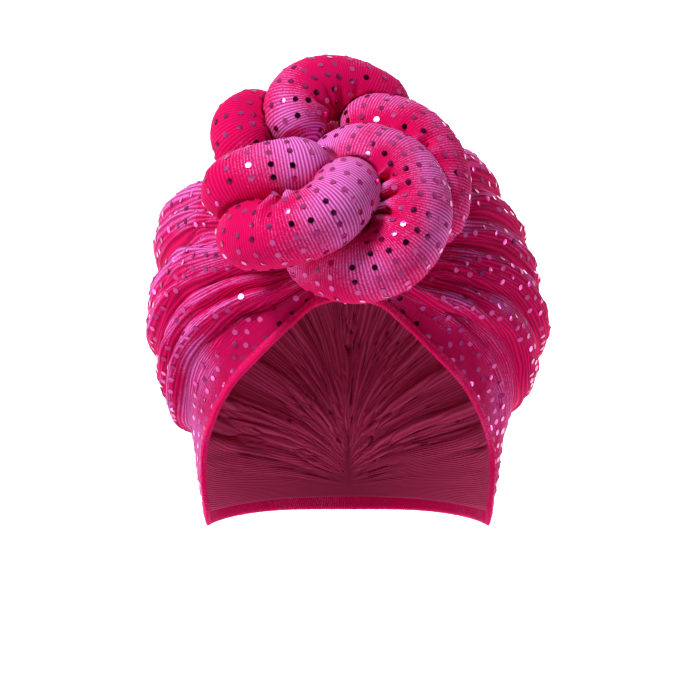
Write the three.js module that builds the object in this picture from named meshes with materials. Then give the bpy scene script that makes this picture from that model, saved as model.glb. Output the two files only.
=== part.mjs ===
import * as THREE from "three";
import { mergeVertices } from "three/addons/utils/BufferGeometryUtils.js";

// Turban headwrap of stretch velvet: a gathered crown, a turned hem round its opening,
// and six stuffed coils that curl round each other in a knot above the brow.
// Millimetres, +Z up, the front faces -Y. The origin is the middle of the head at its widest level.

// The head it is cut for, measured from the origin
const HEAD_WIDTH = 152;
const HEAD_FRONT = 95;
const HEAD_BACK = 102;
const HEAD_TOP = 126;
const HEAD_DROP = 112;

// The crown's cloth, and how far it puffs out past the head
const CLOTH = 2;
const SIDE_EASE = 25;
const FRONT_EASE = 3;
const BACK_EASE = 27;
const TOP_EASE = 30;
const PUFF_LEVEL = 56;

// Its folds: their height, the most that it may be for their width, and the power that rounds their crests
const FOLD_RISE = 9;
const FOLD_STEEPNESS = 0.35;
const FOLD_ROUNDNESS = 0.7;

// Along the run from brow to nape, where the folds have risen, start to soften and start to die out,
// and how much they soften
const FOLDS_RISEN = 0.12;
const FOLDS_SOFTEN = 0.55;
const FOLDS_DIE = 0.9;
const SOFTENED_SHARE = 0.65;

// How much farther from the hem the folds lie at the ears than at the brow, and where along the run they are
// drawn up
const FOLDS_DRAWN_UP = 0.08;
const DRAWN_FROM = 0.15;
const DRAWN_TO = 0.42;

// Where the knot presses the folds flat and where it leaves them free, in shares of its reach over the crown
const PRESSED_FLAT = 0.4;
const LEFT_FREE = 1.1;

// The share of the way up from the hem in which the crown leaves the head, and how softly it does
const HUG_SHARE = 0.34;
const LEAVING_BLEND = 10;

// The two short gathers that the folds run between, in degrees up and over from the brow
const FRONT_GATHER = 52;
const NAPE_GATHER = 185;

// The turned hem
const HEM_WIDTH = 8;
const HEM_THICKNESS = 3;
const HEM_GAP = 0.4;

// The knot: where it sits, in degrees up from the brow, how far it leans back, and its coils
const KNOT_ANGLE = 64;
const KNOT_LEAN = 24;
const COIL_DIAMETER = 32.5;
const COIL_GAP = 1.1;

// The share of a coil's radius that always stays between its middle and what presses on it
const PRESSED_SHARE = 0.35;

// The opening's edge from brow to nape: share of its run, degrees round from the front,
// and height as a share of HEAD_TOP
const EDGE = [
  { run: 0, turn: 0, height: 0.54 },
  { run: 0.07, turn: 12, height: 0.52 },
  { run: 0.14, turn: 24, height: 0.43 },
  { run: 0.21, turn: 36, height: 0.315 },
  { run: 0.28, turn: 48, height: 0.2 },
  { run: 0.345, turn: 58, height: 0.065 },
  { run: 0.41, turn: 66, height: -0.07 },
  { run: 0.46, turn: 70, height: -0.19 },
  { run: 0.51, turn: 74, height: -0.31 },
  { run: 0.57, turn: 84, height: -0.37 },
  { run: 0.68, turn: 105, height: -0.385 },
  { run: 0.84, turn: 142, height: -0.39 },
  { run: 1, turn: 180, height: -0.4 },
];

// The crown's folds across the top, from the left hem at -1 to the right hem at 1:
// where each fold starts, and its rise as a share of FOLD_RISE
const FOLDS = [
  { start: -0.77, rise: 0.8 },
  { start: -0.69, rise: 0.7 },
  { start: -0.615, rise: 0.65 },
  { start: -0.45, rise: 1.2 },
  { start: -0.29, rise: 0.9 },
  { start: -0.145, rise: 0.8 },
  { start: 0, rise: 0.8 },
  { start: 0.155, rise: 0.8 },
  { start: 0.31, rise: 0.5 },
  { start: 0.4, rise: 0.5 },
  { start: 0.5, rise: 0.6 },
  { start: 0.63, rise: 0.5 },
  { start: 0.745, rise: 0 },
];

// The coils, front ones first: points along the middle of each, in coil diameters from the knot's seat,
// and the coil's thickness there as a share of COIL_DIAMETER
const COILS = {
  coil_front: [
    { across: -1.6, up: -1.02, out: 0.72, thick: 0.8 },
    { across: -1.36, up: -1.4, out: 1.05, thick: 1 },
    { across: -0.83, up: -1.5, out: 1.4, thick: 1 },
    { across: -0.28, up: -1.25, out: 1.5, thick: 1 },
    { across: 0, up: -0.8, out: 1.3, thick: 0.97 },
    { across: 0.04, up: -0.45, out: 0.98, thick: 0.8 },
  ],
  coil_left: [
    { across: -1.7, up: -0.74, out: 0.35, thick: 0.75 },
    { across: -1.62, up: -0.58, out: 0.84, thick: 1 },
    { across: -1.19, up: -0.48, out: 1.06, thick: 1 },
    { across: -0.69, up: -0.38, out: 1.04, thick: 1 },
    { across: -0.36, up: -0.22, out: 0.8, thick: 0.85 },
  ],
  coil_ring: [
    { across: -0.46, up: -0.1, out: 0.18, thick: 0.7 },
    { across: -0.11, up: 0, out: 0.5, thick: 0.95 },
    { across: 0.29, up: -0.08, out: 0.78, thick: 1.05 },
    { across: 0.78, up: -0.38, out: 0.88, thick: 1.08 },
    { across: 0.97, up: -1, out: 0.93, thick: 1.08 },
    { across: 0.74, up: -1.56, out: 0.88, thick: 1.08 },
    { across: 0.2, up: -1.76, out: 0.76, thick: 1.05 },
    { across: -0.37, up: -1.54, out: 0.48, thick: 1 },
    { across: -0.78, up: -1.2, out: 0.3, thick: 0.8 },
  ],
  coil_right: [
    { across: -0.02, up: 0.58, out: -0.08, thick: 0.8 },
    { across: 0.36, up: 0.74, out: 0.14, thick: 1 },
    { across: 0.9, up: 0.52, out: 0.3, thick: 1.05 },
    { across: 1.26, up: 0, out: 0.32, thick: 1.05 },
    { across: 1.28, up: -0.6, out: 0.25, thick: 1.03 },
    { across: 1.06, up: -1.1, out: 0.05, thick: 0.8 },
  ],
  coil_top: [
    { across: -0.6, up: 0.38, out: 0.28, thick: 0.85 },
    { across: -0.77, up: 0.92, out: 0.26, thick: 1 },
    { across: -0.53, up: 1.35, out: 0.14, thick: 1 },
    { across: -0.04, up: 1.48, out: -0.02, thick: 1 },
    { across: 0.42, up: 1.25, out: -0.2, thick: 1 },
    { across: 0.66, up: 0.85, out: -0.42, thick: 0.8 },
  ],
  coil_upper_left: [
    { across: -1.18, up: 0.08, out: 0.08, thick: 0.75 },
    { across: -1.5, up: 0.41, out: 0.12, thick: 1 },
    { across: -1.56, up: 0.77, out: 0.04, thick: 1 },
    { across: -1.32, up: 1.03, out: -0.12, thick: 0.9 },
    { across: -1, up: 1, out: -0.3, thick: 0.7 },
  ],
};

// How finely the surfaces are divided
const ROWS = 24;
const STEPS_PER_FOLD = 4;
const HEM_PANEL_STEPS = 5;
const HEM_SIDES = 8;
const COIL_SIDES = 16;
const COIL_RING_PITCH = 6;
const STEPS_PER_RING = 3;
const TRACE_STEPS = 80;
const SLOPE_STEP = 0.004;

// How far rows and rings draw together towards their ends
const ROW_DRAW = 0.6;
const RING_DRAW = 0.35;

const { degToRad, smoothstep, lerp, clamp } = THREE.MathUtils;

function vec(x, y, z) {
  return new THREE.Vector3(x, y, z);
}

// The x at which rising(x) crosses zero between low and high
function solve(low, high, rising, passes = 24) {
  for (let pass = 0; pass < passes; pass++) {
    const middle = (low + high) / 2;
    if (rising(middle) < 0) {
      low = middle;
    } else {
      high = middle;
    }
  }
  return (low + high) / 2;
}

// A column of the EDGE table at a run, drawn smoothly and without overshoot
function edgeColumn(name, run) {
  const last = EDGE.length - 1;
  const slope = (i) => (EDGE[i + 1][name] - EDGE[i][name]) / (EDGE[i + 1].run - EDGE[i].run);
  const tangent = (i) => {
    if (i === 0 || i === last) {
      return name === "turn" ? slope(Math.min(i, last - 1)) : 0;
    }
    const product = slope(i - 1) * slope(i);
    return product > 0 ? (2 * product) / (slope(i - 1) + slope(i)) : 0;
  };
  const found = EDGE.findIndex((row) => row.run > run);
  const i = found < 0 ? last - 1 : found - 1;
  const width = EDGE[i + 1].run - EDGE[i].run;
  const s = (run - EDGE[i].run) / width;
  const rest = 1 - s;
  return rest * rest * ((1 + 2 * s) * EDGE[i][name] + s * width * tangent(i))
    + s * s * ((3 - 2 * s) * EDGE[i + 1][name] - rest * width * tangent(i + 1));
}

// Distance from the origin to an ellipsoid along a direction
function reachOf(direction, size) {
  let front = direction.y < 0;
  let above = direction.z > 0;
  let reach = 0;
  for (let pass = 0; pass < 3; pass++) {
    const x = direction.x / size.side;
    const y = direction.y / (front ? size.front : size.back);
    const height = above ? size.up : size.down;
    const z = direction.z / height;
    const lift = size.lift / height;
    const a = x * x + y * y + z * z;
    const b = z * lift;
    reach = (b + Math.sqrt(Math.max(0, b * b - a * (lift * lift - 1)))) / a;
    above = reach * direction.z > size.lift;
  }
  return reach;
}

const HEAD = {
  side: HEAD_WIDTH / 2,
  front: HEAD_FRONT,
  back: HEAD_BACK,
  up: HEAD_TOP,
  down: HEAD_DROP,
  lift: 0,
};

const headShareAtPuff = Math.sqrt(1 - (PUFF_LEVEL / HEAD_TOP) ** 2);
const PUFF = {
  side: HEAD.side * headShareAtPuff + SIDE_EASE,
  front: HEAD.front * headShareAtPuff + FRONT_EASE,
  back: HEAD.back * headShareAtPuff + BACK_EASE,
  up: HEAD_TOP + TOP_EASE - PUFF_LEVEL,
  down: HEAD_TOP + TOP_EASE - PUFF_LEVEL,
  lift: PUFF_LEVEL,
};

// Directions from the origin: along the crown's middle line, and to the opening's edge on the right
function ridgeDirection(run) {
  const angle = degToRad(lerp(FRONT_GATHER, NAPE_GATHER, run ** 1.5));
  return vec(0, -Math.cos(angle), Math.sin(angle));
}

function edgeDirection(run) {
  const turn = degToRad(edgeColumn("turn", run));
  const z = edgeColumn("height", run) * HEAD_TOP;
  const level = Math.sqrt(1 - (z / (z > 0 ? HEAD.up : HEAD.down)) ** 2);
  const depth = Math.cos(turn) > 0 ? HEAD.front : HEAD.back;
  const x = run === 0 || run === 1 ? 0 : HEAD.side * level * Math.sin(turn);
  return vec(x, -depth * level * Math.cos(turn), z).normalize();
}

// A direction part of the way from the middle line down to the right-hand edge
function directionDown(run, share) {
  const top = ridgeDirection(run);
  const edge = edgeDirection(run);
  const angle = top.angleTo(edge);
  top.multiplyScalar(Math.sin((1 - share) * angle));
  return top.addScaledVector(edge, Math.sin(share * angle)).normalize();
}

function onHead(direction, lift) {
  return direction.clone().multiplyScalar(reachOf(direction, HEAD) + lift);
}

// How far down towards the edge the crown reaches before the hem starts
function crownShare(run, width = HEM_WIDTH + HEM_GAP) {
  const edge = onHead(edgeDirection(run), 0);
  return solve(0.3, 1, (share) => width - onHead(directionDown(run, share), 0).distanceTo(edge));
}

// The same share, and the angle it spans, read from an even run of samples
const crownSpans = Array.from({ length: TRACE_STEPS + 1 }, (_, i) => {
  const share = crownShare(i / TRACE_STEPS);
  return { share, angle: share * ridgeDirection(i / TRACE_STEPS).angleTo(edgeDirection(i / TRACE_STEPS)) };
});

function crownSpan(run, name) {
  const place = clamp(run, 0, 1) * TRACE_STEPS;
  const i = Math.min(TRACE_STEPS - 1, Math.floor(place));
  return lerp(crownSpans[i][name], crownSpans[i + 1][name], place - i);
}

// The knot's seat on the crown, which the coils press flat
const seatDirection = vec(0, -Math.cos(degToRad(KNOT_ANGLE)), Math.sin(degToRad(KNOT_ANGLE)));
const KNOT_SEAT = seatDirection.clone().multiplyScalar(reachOf(seatDirection, PUFF));
const seatSpread = (2 * COIL_DIAMETER) / KNOT_SEAT.length();

// What a place across the crown is multiplied by to find its place in the table of folds
function drawnUp(run) {
  return 1 + FOLDS_DRAWN_UP * smoothstep(run, DRAWN_FROM, DRAWN_TO);
}

// The fold's height at a place on the crown, flat at both gathers and softer towards the nape
function foldRise(direction, run, across) {
  const place = across * drawnUp(run);
  const i = FOLDS.findIndex((fold) => fold.start > place) - 1;
  if (i < 0) {
    return 0;
  }
  const middle = (FOLDS[i].start + FOLDS[i + 1].start) / 2;
  const half = (FOLDS[i + 1].start - FOLDS[i].start) / 2;
  const profile = Math.max(0, 1 - ((place - middle) / half) ** 2) ** FOLD_ROUNDNESS;
  const fromSeat = direction.angleTo(seatDirection) / seatSpread;
  const risen = smoothstep(fromSeat, PRESSED_FLAT, LEFT_FREE) * smoothstep(run, 0, FOLDS_RISEN);
  const softened = 1 - SOFTENED_SHARE * smoothstep(run, FOLDS_SOFTEN, FOLDS_DIE);
  const left = 1 - smoothstep(run, FOLDS_DIE, 1);
  const width = 2 * half * crownSpan(run, "angle") * HEAD_FRONT;
  return Math.min(FOLD_RISE * FOLDS[i].rise, FOLD_STEEPNESS * width) * profile * risen * softened * left;
}

// The crown's outer face as a distance from the origin: close to the head by the hem, puffed out above
function crownReach(direction, run, across) {
  const close = reachOf(direction, HEAD) + CLOTH;
  const puffed = reachOf(direction, PUFF);
  const soft = Math.max(0, LEAVING_BLEND - Math.abs(close - puffed)) / LEAVING_BLEND;
  const outer = Math.max(close, puffed) + (soft * soft * LEAVING_BLEND) / 4;
  const left = smoothstep(1 - Math.abs(across), 0, HUG_SHARE);
  return lerp(close, outer, left) + foldRise(direction, run, across);
}

function crownPoint(run, across) {
  const direction = directionDown(run, Math.abs(across) * crownSpan(run, "share"));
  const point = direction.clone().multiplyScalar(crownReach(direction, run, across));
  point.x *= Math.sign(across);
  return point;
}

// How far outside the crown a point lies, found from the fold line that its direction is on
function crownClearance(point) {
  const distance = point.length();
  const direction = vec(Math.abs(point.x), point.y, point.z).divideScalar(distance);
  const run = solve(0, 1, (u) => -ridgeDirection(u).cross(edgeDirection(u)).dot(direction));
  const top = ridgeDirection(run);
  const share = top.angleTo(direction) / top.angleTo(edgeDirection(run)) / crownSpan(run, "share");
  const across = clamp(share, 0, 1) * (point.x < 0 ? -1 : 1);
  return distance - crownReach(direction, run, across);
}

// The crown's outward normal, which turns to lie along the hem's section at the edge
function crownNormal(run, across) {
  const before = crownPoint(Math.max(0, run - SLOPE_STEP), across);
  const after = crownPoint(Math.min(1, run + SLOPE_STEP), across);
  const low = across > 0 ? Math.max(1e-6, across - SLOPE_STEP) : across - SLOPE_STEP;
  const high = across < 0 ? Math.min(-1e-6, across + SLOPE_STEP) : across + SLOPE_STEP;
  const alongFold = crownPoint(run, Math.min(1, high)).sub(crownPoint(run, Math.max(-1, low)));
  const normal = alongFold.cross(after.sub(before));
  if (run === 0 || run === 1) {
    normal.x = 0;
  }
  const outward = crownPoint(run, across).normalize();
  normal.multiplyScalar(normal.dot(outward) < 0 ? -1 : 1).addScaledVector(outward, 1e-9).normalize();
  return normal.lerp(outward, 1 - smoothstep(1 - Math.abs(across), 0, 0.1)).normalize();
}

// One closed body from triangles whose corners are points
function solidFrom(triangles) {
  const positions = triangles.flatMap((corners) => corners.flatMap((p) => [p.x, p.y, p.z]));
  const loose = new THREE.BufferGeometry();
  loose.setAttribute("position", new THREE.Float32BufferAttribute(positions, 3));
  const solid = mergeVertices(loose, 1e-3);
  solid.computeVertexNormals();
  return solid;
}

// Two triangles between two rows of points, from place i to the next
function pushQuad(triangles, rowA, rowB, i, j) {
  triangles.push([rowA[i], rowA[j], rowB[j]], [rowA[i], rowB[j], rowB[i]]);
}

// Places across the crown that catch every fold's start and crest
function crownColumns() {
  const columns = [];
  const first = FOLDS[0].start;
  const last = FOLDS[FOLDS.length - 1].start;
  for (let i = 0; i < HEM_PANEL_STEPS; i++) {
    columns.push(lerp(-1, first, i / HEM_PANEL_STEPS));
  }
  for (let fold = 0; fold < FOLDS.length - 1; fold++) {
    for (let i = 0; i < STEPS_PER_FOLD; i++) {
      columns.push(lerp(FOLDS[fold].start, FOLDS[fold + 1].start, i / STEPS_PER_FOLD));
    }
  }
  for (let i = 0; i <= HEM_PANEL_STEPS; i++) {
    columns.push(lerp(last, 1, i / HEM_PANEL_STEPS));
  }
  return columns;
}

// The left and right halves meet along each gather, so there the places are the same on both sides.
// Elsewhere they follow the folds as these are drawn up, and the panels by the hem widen with them.
function evenedColumns(columns, run) {
  const settled = smoothstep(Math.min(run, 1 - run), 0, 0.1);
  const panel = 1 - Math.max(-FOLDS[0].start, FOLDS[FOLDS.length - 1].start);
  return columns.map((across, j) => {
    const place = lerp((across - columns[columns.length - 1 - j]) / 2, across, settled);
    return place / lerp(1, drawnUp(run), Math.min(1, (1 - Math.abs(place)) / panel));
  });
}

// Even steps from 0 to 1, drawn together towards both ends
function easedStep(i, count, draw) {
  const gathered = 0.5 - 0.5 * Math.cos((Math.PI * i) / count);
  return i === count ? 1 : lerp(i / count, gathered, draw);
}

// The run of a row of the crown, and of the hem's section that meets it
function rowRun(row) {
  return easedStep(row, ROWS, ROW_DRAW);
}

function crownGeometry() {
  const columns = crownColumns();
  const outer = [];
  const inner = [];
  for (let i = 0; i <= ROWS; i++) {
    const run = rowRun(i);
    const places = evenedColumns(columns, run);
    outer.push(places.map((across) => crownPoint(run, across)));
    const normals = places.map((across) => crownNormal(run, across));
    inner.push(outer[i].map((point, j) => point.clone().addScaledVector(normals[j], -CLOTH)));
  }
  const triangles = [];
  const end = columns.length - 1;
  for (let i = 0; i < ROWS; i++) {
    for (let j = 0; j < end; j++) {
      pushQuad(triangles, outer[i], outer[i + 1], j, j + 1);
      pushQuad(triangles, inner[i + 1], inner[i], j, j + 1);
    }
    pushQuad(triangles, [inner[i][0], outer[i][0]], [inner[i + 1][0], outer[i + 1][0]], 0, 1);
    pushQuad(triangles, [outer[i][end], inner[i][end]], [outer[i + 1][end], inner[i + 1][end]], 0, 1);
  }
  return solidFrom(triangles);
}

// The hem's section is a rounded strip lying on the head, from the crown's edge to the opening
function hemSection(run, side) {
  const start = crownShare(run, HEM_WIDTH);
  return Array.from({ length: HEM_SIDES }, (_, k) => {
    const angle = ((k + 0.5) / HEM_SIDES) * 2 * Math.PI;
    const along = 0.5 + 0.5 * Math.sign(Math.cos(angle)) * Math.sqrt(Math.abs(Math.cos(angle)));
    const lift = 0.5 + 0.5 * Math.sign(Math.sin(angle)) * Math.sqrt(Math.abs(Math.sin(angle)));
    const point = onHead(directionDown(run, lerp(start, 1, along)), lift * HEM_THICKNESS);
    point.x *= side;
    return point;
  });
}

function hemGeometry() {
  const sections = [];
  for (let i = 0; i < 2 * ROWS; i++) {
    const side = i <= ROWS ? 1 : -1;
    sections.push(hemSection(rowRun(i <= ROWS ? i : 2 * ROWS - i), side));
  }
  const triangles = [];
  sections.forEach((section, i) => {
    for (let k = 0; k < HEM_SIDES; k++) {
      pushQuad(triangles, sections[(i + 1) % sections.length], section, k, (k + 1) % HEM_SIDES);
    }
  });
  return solidFrom(triangles);
}

// The knot's own axes, leaning back over its seat
const KNOT_UP = vec(0, Math.sin(degToRad(KNOT_LEAN)), Math.cos(degToRad(KNOT_LEAN)));
const KNOT_OUT = vec(0, -Math.cos(degToRad(KNOT_LEAN)), Math.sin(degToRad(KNOT_LEAN)));

function coilPoint(row) {
  const middle = KNOT_SEAT.clone().addScaledVector(vec(1, 0, 0), row.across * COIL_DIAMETER);
  middle.addScaledVector(KNOT_UP, row.up * COIL_DIAMETER);
  return middle.addScaledVector(KNOT_OUT, row.out * COIL_DIAMETER);
}

// The coil's middle line in short steps, with its radius rounded off at both ends
function coilTrace(rows) {
  const curve = new THREE.CatmullRomCurve3(rows.map(coilPoint), false, "catmullrom");
  curve.arcLengthDivisions = 400;
  const length = curve.getLength();
  const count = STEPS_PER_RING * Math.round(length / COIL_RING_PITCH);
  return Array.from({ length: count + 1 }, (_, i) => {
    const share = easedStep(i, count, RING_DRAW);
    const place = curve.getUtoTmapping(share) * (rows.length - 1);
    const k = Math.min(rows.length - 2, Math.floor(place));
    const full = (lerp(rows[k].thick, rows[k + 1].thick, place - k) * COIL_DIAMETER) / 2;
    const toEnd = Math.min(1, (Math.min(share, 1 - share) * length) / full);
    return { centre: curve.getPointAt(share), radius: full * Math.sqrt(1 - (1 - toEnd) ** 2) };
  });
}

// Lifts a coil's middle line clear of the crown and of the coils in front of it
function settle(trace, earlier) {
  for (const bead of trace) {
    const bed = COIL_GAP + PRESSED_SHARE * bead.radius;
    for (let pass = 0; pass < 6; pass++) {
      for (const other of earlier) {
        const away = bead.centre.clone().sub(other.centre);
        bead.centre.addScaledVector(away, Math.max(0, (other.radius + bed) / away.length() - 1));
      }
      const outward = bead.centre.clone().normalize();
      bead.centre.addScaledVector(outward, Math.max(0, bed - crownClearance(bead.centre)));
    }
  }
  trace.forEach((bead, i) => {
    const after = trace[Math.min(trace.length - 1, i + 1)].centre;
    bead.tangent = after.clone().sub(trace[Math.max(0, i - 1)].centre).normalize();
  });
}

// A coil's skin: round, but pressed in where it meets the crown and the coils in front of it
function coilGeometry(trace, earlier) {
  const clearance = (point) => {
    const gaps = earlier.map((bead) => point.distanceTo(bead.centre) - bead.radius);
    return Math.min(crownClearance(point), ...gaps) - COIL_GAP;
  };
  const pressedRadius = (bead, outward) => {
    const at = (radius) => clearance(bead.centre.clone().addScaledVector(outward, radius));
    const step = bead.radius / 8;
    for (let free = 0; free < 8; free++) {
      if (at((free + 1) * step) < 0) {
        return Math.max(solve(free * step, (free + 1) * step, (radius) => -at(radius), 10), step / 2);
      }
    }
    return bead.radius;
  };
  let sideways = vec(0.3, -1, 0.2);
  const rings = [];
  for (let i = STEPS_PER_RING; i < trace.length - 1; i += STEPS_PER_RING) {
    const bead = trace[i];
    sideways = sideways.clone().addScaledVector(bead.tangent, -sideways.dot(bead.tangent)).normalize();
    const upwards = bead.tangent.clone().cross(sideways);
    rings.push(Array.from({ length: COIL_SIDES }, (_, k) => {
      const angle = (k / COIL_SIDES) * 2 * Math.PI;
      const outward = sideways.clone().multiplyScalar(Math.cos(angle));
      outward.addScaledVector(upwards, Math.sin(angle));
      return bead.centre.clone().addScaledVector(outward, pressedRadius(bead, outward));
    }));
  }
  const triangles = [];
  const tail = rings[rings.length - 1];
  for (let k = 0; k < COIL_SIDES; k++) {
    const next = (k + 1) % COIL_SIDES;
    for (let i = 0; i < rings.length - 1; i++) {
      pushQuad(triangles, rings[i], rings[i + 1], k, next);
    }
    triangles.push([trace[0].centre, rings[0][next], rings[0][k]]);
    triangles.push([trace[trace.length - 1].centre, tail[k], tail[next]]);
  }
  return solidFrom(triangles);
}

function pieceOf(name, geometry, colour) {
  const velvet = new THREE.MeshStandardMaterial({ color: colour, roughness: 0.8, metalness: 0 });
  const piece = new THREE.Mesh(geometry, velvet);
  piece.name = name;
  return piece;
}

const headwrap = new THREE.Group();
headwrap.add(pieceOf("crown", crownGeometry(), 0xd0156b));
headwrap.add(pieceOf("hem_band", hemGeometry(), 0xb8125c));

const pressedBy = [];
for (const [name, rows] of Object.entries(COILS)) {
  const trace = coilTrace(rows);
  settle(trace, pressedBy);
  headwrap.add(pieceOf(name, coilGeometry(trace, pressedBy), 0xe01a78));
  pressedBy.push(...trace);
}

export default headwrap;
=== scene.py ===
import math

import bmesh
import bpy
import numpy as np
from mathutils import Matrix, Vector


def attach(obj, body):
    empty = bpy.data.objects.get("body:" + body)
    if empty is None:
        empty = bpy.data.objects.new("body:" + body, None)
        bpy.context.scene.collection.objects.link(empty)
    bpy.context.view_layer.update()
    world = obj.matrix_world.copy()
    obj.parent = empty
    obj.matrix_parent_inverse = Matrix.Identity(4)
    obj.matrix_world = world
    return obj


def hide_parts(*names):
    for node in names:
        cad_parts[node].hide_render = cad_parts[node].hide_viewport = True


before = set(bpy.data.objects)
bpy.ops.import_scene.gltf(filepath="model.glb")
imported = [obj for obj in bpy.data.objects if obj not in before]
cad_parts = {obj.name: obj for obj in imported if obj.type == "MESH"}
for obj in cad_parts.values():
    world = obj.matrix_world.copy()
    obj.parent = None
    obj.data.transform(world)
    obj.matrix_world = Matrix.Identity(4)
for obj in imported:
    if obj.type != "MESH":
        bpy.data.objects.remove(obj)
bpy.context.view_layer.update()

# The camera stands 1.3 m in front of the wrap and looks 3 degrees down at it through a portrait lens.
# The wrap's middle line lies two pixels left of the picture's middle, so the camera stands 1 mm off it.
CAMERA_SIDE = 0.001
AIM_HEIGHT = 0.0406
CAMERA_DISTANCE = 1.3
CAMERA_RISE = math.radians(3)
WIDTH_IN_VIEW = 0.355

camera_data = bpy.data.cameras.new("camera")
camera_data.lens = camera_data.sensor_width * CAMERA_DISTANCE / WIDTH_IN_VIEW
camera = bpy.data.objects.new("camera", camera_data)
camera.location = (
    CAMERA_SIDE,
    -CAMERA_DISTANCE * math.cos(CAMERA_RISE),
    AIM_HEIGHT + CAMERA_DISTANCE * math.sin(CAMERA_RISE),
)
camera.rotation_euler = (math.pi / 2 - CAMERA_RISE, 0, 0)
bpy.context.scene.collection.objects.link(camera)
bpy.context.scene.camera = camera
bpy.context.scene.view_settings.view_transform = "Standard"

# The crown is one piece of ribbed stretch velvet, cut wide and gathered into two short seams, one under the
# knot and one at the nape. Its folds run from seam to seam over the top, and only a smooth panel by the hem
# lies close.
HEAD = {"side": 0.076, "front": 0.095, "back": 0.102, "up": 0.126, "down": 0.112, "lift": 0.0}
PUFF_LEVEL = 0.056
SIDE_EASE = 0.025
FRONT_EASE = 0.003
BACK_EASE = 0.027
TOP_EASE = 0.03
CLOTH = 0.002
FOLD_RISE = 0.009
FOLD_STEEPNESS = 0.35
FOLD_ROUNDNESS = 0.7
FOLDS_RISEN = 0.12
FOLDS_SOFTEN = 0.55
FOLDS_DIE = 0.9
SOFTENED_SHARE = 0.65
PRESSED_FLAT = 0.4
LEFT_FREE = 1.1
FOLD_LEAN = 1.0
LOWEST_LEAN = 0.5
FOLD_FULLNESS = 1.05
LOWEST_FULLNESS = 0.5
GROOVE_DEPTH = 0.0035
GROOVE_WIDTH = 0.016
FOLD_WANDER = 0.022
HUG_SHARE = 0.34
LEAVING_BLEND = 0.01
FRONT_GATHER = 52
NAPE_GATHER = 185
RIDGE_EASE = 1.5
HEM_WIDTH = 0.008
HEM_TUCK = 0.0014

# The opening's edge from brow to nape: share of its run, degrees round from the front, and height as a share
# of the close oval's top
EDGE_RUN = np.array([0, 0.07, 0.14, 0.21, 0.28, 0.345, 0.41, 0.46, 0.51, 0.57, 0.68, 0.84, 1])
EDGE_TURN = np.array([0, 12, 24, 36, 48, 58, 66, 70, 74, 84, 105, 142, 180])
EDGE_HEIGHT = np.array([
    0.54, 0.52, 0.43, 0.315, 0.2, 0.065, -0.07, -0.19, -0.31, -0.37, -0.385, -0.39, -0.4])

# Where each fold starts, from the left hem at -1 to the right hem at 1, and its rise as a share of FOLD_RISE
FOLD_START = np.array([-0.77, -0.69, -0.615, -0.45, -0.29, -0.145, 0, 0.155, 0.31, 0.4, 0.5, 0.63, 0.745])
FOLD_SHARE = np.array([0.8, 0.7, 0.65, 1.2, 0.9, 0.8, 0.8, 0.8, 0.5, 0.5, 0.6, 0.5])
FOLDS_DRAWN_UP = 0.08
DRAWN_FROM = 0.15
DRAWN_TO = 0.42

head_share_at_puff = math.sqrt(1 - (PUFF_LEVEL / HEAD["up"]) ** 2)
PUFF = {
    "side": HEAD["side"] * head_share_at_puff + SIDE_EASE,
    "front": HEAD["front"] * head_share_at_puff + FRONT_EASE,
    "back": HEAD["back"] * head_share_at_puff + BACK_EASE,
    "up": HEAD["up"] + TOP_EASE - PUFF_LEVEL,
    "down": HEAD["up"] + TOP_EASE - PUFF_LEVEL,
    "lift": PUFF_LEVEL,
}


def smoothstep(value, low, high):
    """From 0 at low to 1 at high, level at both."""
    share = np.clip((value - low) / (high - low), 0, 1)
    return share * share * (3 - 2 * share)


def unit(vectors):
    """The vectors at unit length."""
    return vectors / np.maximum(np.linalg.norm(vectors, axis=-1, keepdims=True), 1e-12)


def walked(points):
    """How far along a line of points each one lies."""
    return np.concatenate([[0], np.cumsum(np.linalg.norm(np.diff(points, axis=0), axis=1))])


def smooth_column(values, run, open_ends):
    """A table column at a run, drawn smoothly and without overshoot."""
    slopes = np.diff(values) / np.diff(EDGE_RUN)
    products = slopes[:-1] * slopes[1:]
    inner = np.where(products > 0, 2 * products / np.where(products > 0, slopes[:-1] + slopes[1:], 1), 0)
    ends = slopes[[0, -1]] if open_ends else np.zeros(2)
    tangents = np.concatenate([ends[:1], inner, ends[1:]])
    i = np.clip(np.searchsorted(EDGE_RUN, run, side="right") - 1, 0, len(values) - 2)
    width = EDGE_RUN[i + 1] - EDGE_RUN[i]
    s = (run - EDGE_RUN[i]) / width
    rest = 1 - s
    start = (1 + 2 * s) * values[i] + s * width * tangents[i]
    end = (3 - 2 * s) * values[i + 1] - rest * width * tangents[i + 1]
    return rest * rest * start + s * s * end


def reach_of(direction, size):
    """Distance from the origin to an ellipsoid along each unit direction."""
    above = direction[..., 2] > 0
    depth = np.where(direction[..., 1] < 0, size["front"], size["back"])
    for _ in range(3):
        height = np.where(above, size["up"], size["down"])
        scaled = direction / np.stack([np.full_like(depth, size["side"]), depth, height], axis=-1)
        lift = size["lift"] / height
        a = (scaled ** 2).sum(axis=-1)
        b = scaled[..., 2] * lift
        reach = (b + np.sqrt(np.maximum(0, b * b - a * (lift * lift - 1)))) / a
        above = reach * direction[..., 2] > size["lift"]
    return reach


def ridge_direction(run):
    """The direction of the crown's middle line, from the front gather over the top to the nape gather."""
    angle = np.radians(FRONT_GATHER + (NAPE_GATHER - FRONT_GATHER) * run ** RIDGE_EASE)
    return np.stack([np.zeros_like(run), -np.cos(angle), np.sin(angle)], axis=-1)


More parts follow.
